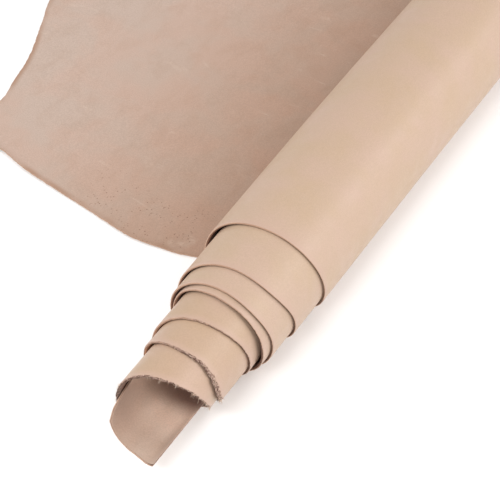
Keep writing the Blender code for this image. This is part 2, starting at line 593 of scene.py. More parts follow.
@dataclass
class LeatherSide:
    """The whole sheet: its grain face, its flesh face and the raw edge between them.

    At the rim the grain face is rounded over. The flesh face closes the gap to the turn below it at
    the top, and opens it at the sides. The edge is dark beside the flesh face, partly its darker
    flesh side and partly painted shade, which is more at the roll's right than at its left.
    """

    shape: RolledShape = field(default_factory=RolledShape)
    uneven: Unevenness = field(default_factory=Unevenness)
    near_rows: tuple[float, ...] = (0.0, 0.0006, 0.0016, 0.004, 0.009, 0.018, 0.035)
    far_rows: tuple[float, ...] = (0.0, 0.0006, 0.0016, 0.004, 0.009)
    middle_rows: int = 8
    ragged_depth: float = 0.004
    slant_depth: float = 0.006
    inner_spacing: float = 0.012
    least_gap: float = 0.45
    same_place: float = 1e-7
    end_slant: float = 0.0036
    end_slant_depth: float = 0.010
    round_over: float = 0.00025
    top_gap_closed: float = 0.00032
    side_gap_opened: float = 0.00120
    edge_bulge: float = 0.00016
    edge_levels: tuple[float, ...] = (0.2, 0.4, 0.6, 0.8)
    clean_rough: float = 0.00005
    frayed_rough: float = 0.00045
    # Painted shade on the edge beside the flesh face, at the roll's right and at its left.
    painted_shade_right: float = 0.74
    painted_shade_left: float = 0.24
    edge_shade_soft: float = 0.12
    flat_ease: float = 0.02
    seed: int = 7
    flat_seed: int = 38

    def winding(self) -> SheetFace:
        """The wound part of the grain face.

        Returns:
            The face, a grid whose columns follow the winding and whose rows run near to far. Its
            border runs along the belly, down the tongue's end and back along the backbone.
        """
        section = self.shape.section()
        turns, line = section[:, 0], section[:, 1:]
        arc = running_length(line)
        normal = left_normals(line)
        states = np.array(EDGE_STATES)
        fray = np.interp(turns, states[:, 0], states[:, 1])
        slant = np.interp(turns, states[:, 0], states[:, 2])
        amount = self.uneven.clean_ragged + self.uneven.frayed_ragged * fray
        stray = self.uneven.ragged(arc, amount, self.seed)
        near = self.shape.belly_y(turns)
        far = OUTLINE[-1].y - self.shape.telescope * turns
        rows = [
            near + depth - stray * math.exp(-depth / self.ragged_depth) for depth in self.near_rows
        ]
        low, high = near + self.near_rows[-1], far - self.far_rows[-1]
        for step in range(1, self.middle_rows + 1):
            rows.append(low + (high - low) * step / (self.middle_rows + 1))
        rows += [far - depth for depth in reversed(self.far_rows)]
        y = np.stack(rows, axis=1)
        columns, count = y.shape
        points = np.empty((columns, count, 3))
        points[..., 0] = line[:, None, 0]
        points[..., 1] = y
        points[..., 2] = line[:, None, 1]
        inward = np.zeros_like(points)
        inward[..., 0] = normal[:, None, 0]
        inward[..., 2] = normal[:, None, 1]
        rim = np.minimum(y - y[:, :1], y[:, -1:] - y)
        rim = np.minimum(rim, (arc[-1] - arc)[:, None])
        index = np.arange(columns * count).reshape(columns, count)
        faces = [
            (index[i, j], index[i, j + 1], index[i + 1, j + 1], index[i + 1, j])
            for i in range(columns - 1)
            for j in range(count - 1)
        ]
        border = [*index[:, 0], *index[-1, 1:-1], *index[::-1, -1]]
        end = np.array([normal[-1, 1], 0.0, -normal[-1, 0]])
        back = self.end_slant * np.exp((arc - arc[-1]) / self.end_slant_depth)
        side = np.sin(2 * math.pi * turns)
        # The edge's dark share: painted shade, more at the roll's right than at its left, and each
        # state's own.
        under = np.where(side > 0, self.painted_shade_right * side, -self.painted_shade_left * side)
        under += np.interp(turns, states[:, 0], states[:, 3])
        opened = self.side_gap_opened * np.abs(side) - self.top_gap_closed
        outward = np.vstack(
            [
                np.tile((0.0, -1.0, 0.0), (columns, 1)),
                np.tile(end, (count - 2, 1)),
                np.tile((0.0, 1.0, 0.0), (columns, 1)),
            ]
        )
        spread = np.ones((1, count))
        return SheetFace(
            points=points.reshape(-1, 3),
            inward=inward.reshape(-1, 3),
            along=(arc[:, None] * spread).ravel(),
            rim=rim.ravel(),
            fray=(fray[:, None] * spread).ravel(),
            slant=(slant[:, None] * np.exp(-(y - y[:, :1]) / self.slant_depth)).ravel(),
            set_back=(back[:, None, None] * spread[..., None] * -end).reshape(-1, 3),
            under=(under[:, None] * spread).ravel(),
            opened=(opened[:, None] * spread).ravel(),
            faces=faces,
            border=[int(number) for number in border],
            outward=outward,
        )

    def with_flat_end(self, wound: SheetFace) -> SheetFace:
        """The grain face with the flat end joined to its first column.

        Args:
            wound: The wound part.

        Returns:
            The whole face. Its border is one closed ring.
        """
        count = len(self.near_rows) + self.middle_rows + len(self.far_rows)
        column = list(range(count))
        outline, corners = self.shape.outline()
        length = running_length(outline)
        inner = -left_normals(outline)
        amount = np.full(len(outline), self.uneven.flat_ragged)
        stray = self.uneven.ragged(length, amount, self.flat_seed)
        stray *= smooth_step(0.0, self.flat_ease, -outline[:, 0])
        points = list(wound.points)
        rim = list(wound.rim)
        rings = []
        for depth, start, end in zip(self.far_rows, column, reversed(column)):
            shift = depth - stray * math.exp(-depth / self.ragged_depth)
            ring = self.shape.inset(outline, corners, shift)
            middle = range(len(points), len(points) + len(ring) - 2)
            points += [np.array((x, y, 0.0)) for x, y in ring[1:-1]]
            rim += [depth] * len(middle)
            rings.append([start, *middle, end])
        faces = list(wound.faces)
        for outer, within in zip(rings[:-1], rings[1:]):
            for k in range(len(outer) - 1):
                faces.append((outer[k], outer[k + 1], within[k + 1], within[k]))
        hole = [*rings[-1], *reversed(column[len(self.far_rows) : -len(self.far_rows)])]
        edge = np.array([points[number][:2] for number in hole])
        added, triangles = self.filling(edge)
        numbers = hole + list(range(len(points), len(points) + len(added)))
        points += [np.array((x, y, 0.0)) for x, y in added]
        depth = self.far_rows[-1]
        for place in added:
            rim.append(depth + float(np.linalg.norm(edge[: len(rings[-1])] - place, axis=1).min()))
        faces += [tuple(numbers[k] for k in triangle) for triangle in triangles]
        flat_count = len(points) - len(wound.points)
        everything = np.array(points)
        flat = slice(len(wound.points), None)
        border = [*wound.border, *reversed(rings[0][1:-1])]
        outward = np.zeros((len(outline) - 2, 3))
        outward[:, :2] = -inner[1:-1][::-1]
        zeros = np.zeros(flat_count)
        return SheetFace(
            points=everything,
            inward=np.vstack([wound.inward, np.tile((0.0, 0.0, 1.0), (flat_count, 1))]),
            along=np.concatenate([wound.along, everything[flat, 0]]),
            rim=np.array(rim),
            fray=np.concatenate([wound.fray, zeros]),
            slant=np.concatenate([wound.slant, zeros]),
            set_back=np.vstack([wound.set_back, np.zeros((flat_count, 3))]),
            under=np.concatenate([wound.under, zeros]),
            opened=np.concatenate([wound.opened, zeros + self.round_over]),
            faces=faces,
            border=border,
            outward=np.vstack([wound.outward, outward]),
        )

    def filling(self, edge: np.ndarray) -> tuple[np.ndarray, list[list[int]]]:
        """Fills a closed plane ring with triangles.

        Args:
            edge: The ring's points, as rows of x and y.

        Returns:
            The points added inside, and triangles that number the ring's points first.
        """
        lowest, highest = edge.min(axis=0), edge.max(axis=0)
        spots = np.mgrid[
            lowest[0] : highest[0] : self.inner_spacing, lowest[1] : highest[1] : self.inner_spacing
        ]
        spots = spots.reshape(2, -1).T
        spots = spots[self.inside(edge, spots)]
        gap = np.array([np.linalg.norm(edge - spot, axis=1).min() for spot in spots])
        spots = spots[gap > self.inner_spacing * self.least_gap]
        everything = np.vstack([edge, spots])
        ring = list(range(len(edge)))
        sides = list(zip(ring, ring[1:] + ring[:1]))
        places = [Vector(place) for place in everything]
        made = delaunay_2d_cdt(places, sides, [], 1, self.same_place)
        source = [origin[0] for origin in made[3]]
        return spots, [[source[k] for k in triangle] for triangle in made[2]]

    @staticmethod
    def inside(edge: np.ndarray, spots: np.ndarray) -> np.ndarray:
        """Finds the spots inside a closed ring, by counting the sides that each looks across.

        Args:
            edge: The ring's points.
            spots: The spots.

        Returns:
            Whether each spot lies inside.
        """
        found = np.zeros(len(spots), bool)
        for (x0, y0), (x1, y1) in zip(edge, np.roll(edge, -1, axis=0)):
            if y0 == y1:
                continue
            crosses = (spots[:, 1] < y0) != (spots[:, 1] < y1)
            reach = x0 + (spots[:, 1] - y0) * (x1 - x0) / (y1 - y0)
            found ^= crosses & (spots[:, 0] < reach)
        return found

    def cut_edge(
        self, face: SheetFace, grain: np.ndarray, flesh: np.ndarray
    ) -> tuple[np.ndarray, np.ndarray]:
        """The raw edge between the two faces, rough and bulging a little in its middle.

        Args:
            face: The grain face as it was laid out.
            grain: Its finished points.
            flesh: The flesh face's finished points.

        Returns:
            The edge's points, level after level, and how dark each is, from 0 to 1: its darker
            flesh side and painted shade.
        """
        border = face.border
        random = np.random.default_rng(self.seed)
        points = []
        dark = []
        for level in self.edge_levels:
            spot = grain[border] * (1 - level) + flesh[border] * level
            rough = self.clean_rough + self.frayed_rough * face.fray[border]
            rough = random.uniform(-1.0, 1.0, len(border)) * rough
            bulge = self.edge_bulge * math.sin(math.pi * level) + rough
            points.append(spot + face.outward * bulge[:, None])
            # Darker towards the flesh face: the darker flesh side and painted shade.
            start = 1 - face.under[border]
            dark.append(smooth_step(start - self.edge_shade_soft, start + self.edge_shade_soft, level))
        return np.vstack(points), np.concatenate(dark)

    def closed_mesh(self, face: SheetFace, offset: Vector) -> bpy.types.Mesh:
        """The whole sheet as one closed mesh, with its slots, its UV map and its attributes.

        Args:
            face: The grain face.
            offset: From the roll's axes to the frame's.

        Returns:
            The mesh.
        """
        count = len(face.points)
        border = np.array(face.border)
        belly = np.array((0.0, -1.0, 0.0))
        grain = face.points + face.set_back
        flesh = face.points + face.inward * self.shape.thickness + face.slant[:, None] * belly
        at_rim = np.isclose(face.rim, 0.0)
        grain[at_rim] += face.inward[at_rim] * self.round_over
        flesh[at_rim] -= face.inward[at_rim] * face.opened[at_rim, None]
        edge, dark = self.cut_edge(face, grain, flesh)
        levels = len(self.edge_levels)
        points = np.vstack([grain, flesh, edge])
        rim, along, fray = (
            np.concatenate([known, known, np.tile(known[border], levels)])
            for known in (face.rim, face.along, face.fray)
        )
        # Dark towards the flesh face at the edge: the darker flesh side and painted shade.
        under = np.concatenate([np.zeros(count), np.ones(count), dark])
        points[:, 2] += self.uneven.lift(points, rim)
        points = self.uneven.ease(points)
        faces = [tuple(reversed(corners)) for corners in face.faces]
        kinds = [Face.GRAIN] * len(faces)
        faces += [tuple(k + count for k in corners) for corners in face.faces]
        kinds += [Face.FLESH] * len(face.faces)
        between = 2 * count + np.arange(levels * len(border)).reshape(levels, -1)
        rings = [border, *between, border + count]
        for low, high in zip(rings[:-1], rings[1:]):
            for k in range(len(border)):
                after = (k + 1) % len(border)
                faces.append((low[k], low[after], high[after], high[k]))
                kinds.append(Face.CUT)
        places = np.stack([along, points[:, 1]], axis=1)
        kept = {RIM: rim, FRAY: fray, EDGE_DARK_AND_SHADE: under}
        return self.mesh(points + np.array(offset), faces, kinds, places, kept)

    @staticmethod
    def mesh(
        points: np.ndarray,
        faces: list[tuple[int, ...]],
        kinds: list[Face],
        places: np.ndarray,
        kept: dict[str, np.ndarray],
    ) -> bpy.types.Mesh:
        """Makes the sheet's mesh, with its faces turned outwards.

        Args:
            points: Its points.
            faces: Its faces, by the numbers of their points.
            kinds: The kind of each face.
            places: The place of each point on the flat sheet, for the UV map.
            kept: The values kept at each point, by name.

        Returns:
            The mesh.
        """
        data = bpy.data.meshes.new("leather_sheet")
        data.from_pydata(points.tolist(), [], [[int(k) for k in corners] for corners in faces])
        data.polygons.foreach_set("material_index", [int(kind) for kind in kinds])
        corners = np.empty(len(data.loops), np.int32)
        data.loops.foreach_get("vertex_index", corners)
        data.uv_layers.new(name=SHEET_UV).data.foreach_set("uv", places[corners].ravel())
        for name, values in kept.items():
            attribute = data.attributes.new(name, "FLOAT", "POINT")
            attribute.data.foreach_set("value", values.astype(np.float32))
        work = bmesh.new()
        work.from_mesh(data)
        bmesh.ops.recalc_face_normals(work, faces=work.faces)
        work.to_mesh(data)
        work.free()
        data.shade_smooth()
        data.validate()
        return data

    def build(self, offset: Vector, finishes: dict[Face, bpy.types.Material]) -> bpy.types.Object:
        """Makes the dressed sheet.

        Args:
            offset: From the roll's axes to the frame's.
            finishes: The material of each kind of face.

        Returns:
            The sheet's object, at the origin.
        """
        face = self.with_flat_end(self.winding())
        data = self.closed_mesh(face, offset)
        for kind in Face:
            data.materials.append(finishes[kind])
        return put("leather_sheet", data)


class Joined(Enum):
    """How two values are joined."""

    SUM = "ADD"
    PRODUCT = "MULTIPLY"
    DIFFERENCE = "SUBTRACT"
    RATIO = "DIVIDE"


class Ramp(NamedTuple):
    """A smooth change: the two values between which it is read, and what it becomes at each."""

    low: float
    high: float
    start: float = 0.0
    end: float = 1.0


class Mottle(NamedTuple):
    """Soft noise: the size of its patches in metres, its finer layers, their strength, its bend."""

    size: float
    detail: float = 2.0
    rough: float = 0.5
    bend: float = 0.0


# From none to all
WHOLE = Ramp(0.0, 1.0)


class Nodes:
    """Writes a node tree, so that the script reads as the tree's own steps."""

    def __init__(self, tree: bpy.types.NodeTree) -> None:
        """Takes the tree to write in."""
        self.tree = tree

    def feed(self, node: bpy.types.Node, given: dict[str | int, Value]) -> None:
        """Gives a node's inputs what they take.

        Args:
            node: The node.
            given: For each input, by its name or number, another node's output or a plain value.
        """
        for name, value in given.items():
            if isinstance(value, Socket):
                self.tree.links.new(value, node.inputs[name])
            else:
                node.inputs[name].default_value = value

    def node(
        self, kind: str, given: dict[str | int, Value] | None = None, **settings: Value
    ) -> bpy.types.Node:
        """Adds a node.

        Args:
            kind: The node's type.
            given: What its inputs take, as in feed.
            settings: Its own settings, which are set first.

        Returns:
            The node.
        """
        made = self.tree.nodes.new(kind)
        for name, value in settings.items():
            setattr(made, name, value)
        self.feed(made, given or {})
        return made

    def join(self, way: Joined, first: Value, second: Value) -> Socket:
        """Two values joined in this way."""
        return self.node("ShaderNodeMath", {0: first, 1: second}, operation=way.value).outputs[0]

    def product(self, first: Value, *others: Value) -> Value:
        """Values multiplied together.

        Args:
            first: The first value.
            others: Those that it is multiplied by, in turn.

        Returns:
            Their product.
        """
        for other in others:
            first = self.join(Joined.PRODUCT, first, other)
        return first


class Recipe(Nodes):
    """Writes one material's nodes, so that a finish reads as the steps that make it."""

    def __init__(self, name: str) -> None:
        """Starts a material with only its shader and its output.

        Args:
            name: The material's name.
        """
        self.material = bpy.data.materials.new(name)
        self.material.use_nodes = True
        super().__init__(self.material.node_tree)
        self.shader = self.tree.nodes["Principled BSDF"]

    def sheet_place(self, stretch: tuple[float, float] = (1.0, 1.0)) -> Socket:
        """The place on the flat sheet, in metres along and across it, stretched as asked."""
        place = self.node("ShaderNodeUVMap", uv_map=SHEET_UV).outputs["UV"]
        return self.node("ShaderNodeMapping", {"Vector": place, "Scale": (*stretch, 1.0)}).outputs[0]

    def sheet_axes(self) -> tuple[Socket, Socket]:
        """The metres along the flat sheet from under the roll, and across it from the roll's origin."""
        split = self.node("ShaderNodeSeparateXYZ", {"Vector": self.sheet_place()}).outputs
        return split["X"], split["Y"]

    def object_place(self) -> Socket:
        """The place in the frame, in metres."""
        return self.node("ShaderNodeTexCoord").outputs["Object"]

    def known(self, name: str) -> Socket:
        """A value kept at each point of the mesh."""
        return self.node("ShaderNodeAttribute", attribute_name=name).outputs["Fac"]

    def noise(self, place: Socket, mottle: Mottle) -> Socket:
        """Soft noise.

        Args:
            place: Where it is read.
            mottle: What it is like.

        Returns:
            The noise, around 0.5.
        """
        given = {
            "Vector": place,
            "Scale": 1.0 / mottle.size,
            "Detail": mottle.detail,
            "Roughness": mottle.rough,
            "Distortion": mottle.bend,
        }
        return self.node("ShaderNodeTexNoise", given).outputs["Fac"]

    def cells(self, place: Socket, size: float) -> Socket:
        """The distance to the nearest of many scattered points, about a size apart."""
        given = {"Vector": place, "Scale": 1.0 / size}
        return self.node("ShaderNodeTexVoronoi", given).outputs["Distance"]

    def rescale(self, value: Value, ramp: Ramp) -> Socket:
        """A value led smoothly up or down a ramp, and held at its ends.

        Args:
            value: What is rescaled.
            ramp: The ramp.

        Returns:
            The rescaled value.
        """
        given = {
            "Value": value,
            "From Min": ramp.low,
            "From Max": ramp.high,
            "To Min": ramp.start,
            "To Max": ramp.end,
        }
        made = self.node("ShaderNodeMapRange", given, interpolation_type="SMOOTHSTEP")
        return made.outputs["Result"]

    def patches(self, place: Socket, mottle: Mottle, ramp: Ramp) -> Socket:
        """Soft noise led up a ramp, so that it falls into patches."""
        return self.rescale(self.noise(place, mottle), ramp)

    def less(self, value: Value, other: Value, ramp: Ramp = WHOLE) -> Socket:
        """A share less another, led up a ramp and held at its ends."""
        return self.rescale(self.join(Joined.DIFFERENCE, value, other), ramp)

    def blend(self, share: Value, first: Value, second: Value) -> Socket:
        """Two colours mixed, with this share of the second."""
        given = {"Factor": share, "A": first, "B": second}
        return self.node("ShaderNodeMix", given, data_type="RGBA").outputs["Result"]

    def tint(self, color: Value, tint: Value) -> Socket:
        """A colour multiplied by another, or by a plain value.

        Args:
            color: The colour.
            tint: What it is multiplied by.

        Returns:
            The tinted colour.
        """
        given = {"Factor": 1.0, "A": color, "B": tint}
        made = self.node("ShaderNodeMix", given, data_type="RGBA", blend_type="MULTIPLY")
        return made.outputs["Result"]

    def relief(self, height: Value, depth: float, below: Socket | None = None) -> Socket:
        """A relief laid over the one below it.

        Args:
            height: Its height at each place, from 0 to 1.
            depth: How deep that is, in metres.
            below: The relief below it, if there is one.

        Returns:
            The surface's direction.
        """
        given = {"Strength": 1.0, "Distance": depth, "Height": height}
        if below is not None:
            given["Normal"] = below
        return self.node("ShaderNodeBump", given).outputs["Normal"]

    def finish(self, color: Value, roughness: Value, normal: Socket, shine: float) -> bpy.types.Material:
        """Gives the shader what the steps have made.

        Args:
            color: Its colour.
            roughness: Its roughness.
            normal: Its relief.
            shine: How strongly it reflects.

        Returns:
            The material.
        """
        given = {"Base Color": color, "Roughness": roughness, "Normal": normal}
        self.feed(self.shader, {**given, "Specular IOR Level": shine})
        return self.material


@dataclass(frozen=True)
class GrainFinish:
    """The smooth outer face: pale, faintly clouded, with a fine grain and a satin gloss."""

    plain: Color = (0.466, 0.334, 0.242, 1.0)
    straw: Color = (0.460, 0.327, 0.226, 1.0)
    rose: Color = (0.476, 0.334, 0.252, 1.0)
    blush: Color = (0.484, 0.328, 0.257, 1.0)
    brown: Color = (0.340, 0.215, 0.150, 1.0)
    inner_tint: Color = (0.960, 0.930, 0.905, 1.0)
    inner_turns: Ramp = Ramp(1.15, 1.60)
    cloud: Mottle = Mottle(0.055, 3.0)
    cloud_ramp: Ramp = Ramp(0.36, 0.64)
    patch: Mottle = Mottle(0.014, 4.0, 0.6)
    patch_ramp: Ramp = Ramp(0.38, 0.66, 0.0, 0.55)
    speck: Mottle = Mottle(0.0011, 2.0, 0.6)
    speck_ramp: Ramp = Ramp(0.35, 0.65, 0.955, 1.035)
    blush_band: Ramp = Ramp(0.001, 0.008, 0.6, 0.0)
    brown_band: Ramp = Ramp(0.0, 0.0008, 0.22, 0.0)
    gloss: Mottle = Mottle(0.018, 4.0, 0.6)
    gloss_ramp: Ramp = Ramp(0.3, 0.7, 0.40, 0.52)
    pore_size: float = 0.0007
    pore_ramp: Ramp = Ramp(0.0, 0.7)
    pore_depth: float = 0.00004
    swell: Mottle = Mottle(0.022)
    swell_depth: float = 0.00016
    shine: float = 0.42

    def material(self) -> bpy.types.Material:
        """Makes the grain face's material.

        Returns:
            The material.
        """
        recipe = Recipe("grain")
        sheet = recipe.sheet_place()
        place = recipe.object_place()
        along, _ = recipe.sheet_axes()
        rim = recipe.known(RIM)
        color = recipe.blend(recipe.patches(sheet, self.cloud, self.cloud_ramp), self.straw, self.rose)
        color = recipe.blend(recipe.patches(sheet, self.patch, self.patch_ramp), color, self.plain)
        inner = recipe.rescale(along, self.inner_turns)
        color = recipe.blend(inner, color, recipe.tint(color, self.inner_tint))
        color = recipe.tint(color, recipe.patches(place, self.speck, self.speck_ramp))
        color = recipe.blend(recipe.rescale(rim, self.blush_band), color, self.blush)
        color = recipe.blend(recipe.rescale(rim, self.brown_band), color, self.brown)
        gloss = recipe.patches(sheet, self.gloss, self.gloss_ramp)
        pores = recipe.rescale(recipe.cells(place, self.pore_size), self.pore_ramp)
        normal = recipe.relief(recipe.noise(sheet, self.swell), self.swell_depth)
        normal = recipe.relief(pores, self.pore_depth, normal)
        return recipe.finish(color, gloss, normal, self.shine)


@dataclass(frozen=True)
class TongueTones:
    """The flesh face's colours in the tongue: painted light in its depth and at its right, and a
    painted shadow where the arch above it throws its own shade.
    """

    left: Color = (0.345, 0.231, 0.173, 1.0)
    # Lighter at the right, where the sheet turns up away from the light: painted light.
    right: Color = (0.460, 0.335, 0.262, 1.0)
    # Painted light deep under the arch.
    deep: Color = (0.690, 0.493, 0.383, 1.0)
    # A painted shadow at the right, under the arch.
    shade: Color = (0.200, 0.105, 0.075, 1.0)
    to_right: Ramp = Ramp(2.262, 2.325)
    to_painted_light: Ramp = Ramp(0.050, 0.088)
    to_painted_shadow: Ramp = Ramp(0.086, 0.108)
    under_arch: Ramp = Ramp(0.150, 0.220, 1.0, 0.0)

    def color(self, recipe: Recipe, along: Socket, across: Socket) -> Socket:
        """The tongue's colour.

        Args:
            recipe: The flesh face's recipe.
            along: The metres along the sheet.
            across: The metres across it.

        Returns:
            The colour, with painted light in depth, and a painted shadow at the right under the arch.
        """
        right = recipe.rescale(along, self.to_right)
        faded = recipe.rescale(across, self.under_arch)
        painted_light_share = recipe.product(recipe.rescale(across, self.to_painted_light), faded)
        # Painted light at the right.
        color = recipe.blend(right, self.left, self.right)
        # Painted light in depth.
        color = recipe.blend(painted_light_share, color, self.deep)
        # Painted shadow at the right under the arch.
        painted_shadow_share = recipe.product(recipe.rescale(across, self.to_painted_shadow), right, faded)
        return recipe.blend(painted_shadow_share, color, self.shade)


@dataclass(frozen=True)
class FleshFinish:
    """The inner face: a dull, close nap, clouded pink and grey, with scattered pores."""

    # The base, from the far side of the flat end to the roll, and into the tongue
    near: Color = (0.402, 0.264, 0.193, 1.0)
    far: Color = (0.450, 0.335, 0.274, 1.0)
    to_near: Ramp = Ramp(-0.36, -0.07)
    tongue_tones: TongueTones = TongueTones()
    to_tongue: Ramp = Ramp(2.10, 2.18)
    # Clouds and patches
    rose: Color = (1.020, 0.985, 0.975, 1.0)
    grey: Color = (0.985, 1.005, 1.015, 1.0)
    cloud: Mottle = Mottle(0.060, 3.0, 0.55, 0.4)
    cloud_ramp: Ramp = Ramp(0.38, 0.62)
    tan: Color = (0.930, 0.895, 0.860, 1.0)
    patch: Mottle = Mottle(0.020, 5.0, 0.62, 0.5)
    patch_stretch: tuple[float, float] = (1.0, 0.55)
    patch_ramp: Ramp = Ramp(0.42, 0.70, 0.0, 0.6)
    # The nap
    nap: Mottle = Mottle(0.0011, 3.0, 0.65)
    nap_shade: Ramp = Ramp(0.3, 0.7, 0.90, 1.08)
    nap_dull: Ramp = Ramp(0.3, 0.7, 0.78, 0.92)
    nap_depth: float = 0.00016
    strand: Mottle = Mottle(0.0009, 3.0, 0.7)
    strand_stretch: tuple[float, float] = (1.0, 0.22)
    strand_depth: float = 0.000096
    swell: Mottle = Mottle(0.018, 3.0)
    swell_depth: float = 0.0004
    # Scuffs
    pale: Color = (0.600, 0.470, 0.375, 1.0)
    scuff: Mottle = Mottle(0.030, 5.0, 0.7, 1.2)
    scuff_stretch: tuple[float, float] = (0.35, 1.0)
    scuff_ramp: Ramp = Ramp(0.60, 0.76, 0.0, 0.40)
    # Pores, along the belly alone
    pore: Color = (0.200, 0.105, 0.065, 1.0)
    pore_size: float = 0.0034
    pore_ramp: Ramp = Ramp(0.13, 0.25, 1.0, 0.0)
    pore_band: Ramp = Ramp(0.035, 0.085, 1.0, 0.0)
    pore_belly: Ramp = Ramp(-0.27, -0.20)
    pore_thinning: Mottle = Mottle(0.022, 3.0)
    pore_thin_ramp: Ramp = Ramp(0.43, 0.56)
    # The brown rim, stronger in some places than in others
    brown: Color = (0.330, 0.195, 0.130, 1.0)
    brown_band: Ramp = Ramp(0.0005, 0.0085, 1.0, 0.0)
    brown_wander: Mottle = Mottle(0.060)
    brown_ramp: Ramp = Ramp(0.42, 0.60, 0.32, 0.80)
    # Painted shade inside the roll, near its open end, with a warm painted light on its inner turns
    inside: Color = (0.200, 0.085, 0.052, 1.0)
    painted_warm_light: Color = (0.640, 0.340, 0.210, 1.0)
    to_painted_gap_shade: Ramp = Ramp(0.10, 0.20, 0.0, 0.9)
    inside_held: Ramp = Ramp(0.0, 0.9, 0.0, 0.9)
    near_end: Ramp = Ramp(0.300, 0.420, 1.0, 0.0)
    warm_light_from: Ramp = Ramp(1.10, 1.74)
    warm_light_to: Ramp = Ramp(1.90, 1.95, 1.0, 0.0)
    # Torn fibres beside the frayed edge, dark between their clumps: darker fibres and painted shade
    loose: Color = (0.310, 0.200, 0.155, 1.0)
    fibre_dark_and_shade: Color = (0.085, 0.042, 0.028, 1.0)
    torn: Ramp = Ramp(0.30, 0.65)
    torn_band: Ramp = Ramp(0.002, 0.009, 1.0, 0.0)
    clump: Mottle = Mottle(0.0019, 3.0, 0.7)
    clump_ramp: Ramp = Ramp(0.42, 0.60)
    # The gloss
    shine: float = 0.22
    sheen: float = 0.12
    sheen_roughness: float = 0.6
    sheen_tint: Color = (1.0, 0.93, 0.86, 1.0)

    def pores(self, recipe: Recipe, along: Socket, tongue: Socket) -> Socket:
        """Where the belly's scattered pores lie.

        Args:
            recipe: The recipe.
            along: The metres along the sheet.
            tongue: The tongue's share, which has none.

        Returns:
            The pores' share.
        """
        sheet = recipe.sheet_place()
        spots = recipe.rescale(recipe.cells(sheet, self.pore_size), self.pore_ramp)
        band = recipe.rescale(recipe.known(RIM), self.pore_band)
        belly = recipe.product(band, recipe.rescale(along, self.pore_belly))
        thin = recipe.patches(sheet, self.pore_thinning, self.pore_thin_ramp)
        return recipe.less(recipe.product(spots, belly, thin), tongue)

    def wound(self, recipe: Recipe, along: Socket, across: Socket, tongue: Socket) -> Socket:
        """How far the flesh inside the roll, near its open end, takes the painted shade and light.

        Args:
            recipe: The recipe.
            along: The metres along the sheet.
            across: The metres across it.
            tongue: The tongue's share, which gets none of it.

        Returns:
            The share of the painted shade and light.
        """
        share = recipe.less(recipe.rescale(along, self.to_painted_gap_shade), tongue, self.inside_held)
        return recipe.product(share, recipe.rescale(across, self.near_end))

    def material(self) -> bpy.types.Material:
        """Makes the flesh face's material.

        Returns:
            The material.
        """
        recipe = Recipe("flesh")
        sheet = recipe.sheet_place()
        place = recipe.object_place()
        along, across = recipe.sheet_axes()
        rim = recipe.known(RIM)

        tongue = recipe.rescale(along, self.to_tongue)
        color = recipe.blend(recipe.rescale(along, self.to_near), self.far, self.near)
        color = recipe.blend(tongue, color, self.tongue_tones.color(recipe, along, across))

        cloud = recipe.patches(sheet, self.cloud, self.cloud_ramp)
        color = recipe.tint(color, recipe.blend(cloud, self.rose, self.grey))
        patch = recipe.patches(recipe.sheet_place(self.patch_stretch), self.patch, self.patch_ramp)
        color = recipe.blend(patch, color, recipe.tint(color, self.tan))
        nap = recipe.noise(place, self.nap)
        color = recipe.tint(color, recipe.rescale(nap, self.nap_shade))
        scuff = recipe.patches(recipe.sheet_place(self.scuff_stretch), self.scuff, self.scuff_ramp)
        color = recipe.blend(scuff, color, self.pale)
        color = recipe.blend(self.pores(recipe, along, tongue), color, self.pore)

        wander = recipe.patches(sheet, self.brown_wander, self.brown_ramp)
        band = recipe.product(recipe.rescale(rim, self.brown_band), wander)
        color = recipe.blend(recipe.less(band, tongue), color, self.brown)
        # Painted shade on the flesh inside the roll, with a warm painted light on its inner turns.
        warm_light_share = recipe.product(
            recipe.rescale(along, self.warm_light_from), recipe.rescale(along, self.warm_light_to)
        )
        inside = recipe.blend(warm_light_share, self.inside, self.painted_warm_light)
        color = recipe.blend(self.wound(recipe, along, across, tongue), color, inside)
        # Torn fibres at the frayed rim, dark between clumps: darker fibres and painted shade.
        torn = recipe.product(
            recipe.rescale(recipe.known(FRAY), self.torn), recipe.rescale(rim, self.torn_band)
        )
        clumps = recipe.patches(place, self.clump, self.clump_ramp)
        color = recipe.blend(torn, color, recipe.blend(clumps, self.fibre_dark_and_shade, self.loose))

        strands = recipe.noise(recipe.sheet_place(self.strand_stretch), self.strand)
        normal = recipe.relief(recipe.noise(sheet, self.swell), self.swell_depth)
        normal = recipe.relief(strands, self.strand_depth, normal)
        normal = recipe.relief(nap, self.nap_depth, normal)
        sheen = {"Sheen Weight": self.sheen, "Sheen Roughness": self.sheen_roughness}
        recipe.feed(recipe.shader, {**sheen, "Sheen Tint": self.sheen_tint})
        return recipe.finish(color, recipe.rescale(nap, self.nap_dull), normal, self.shine)


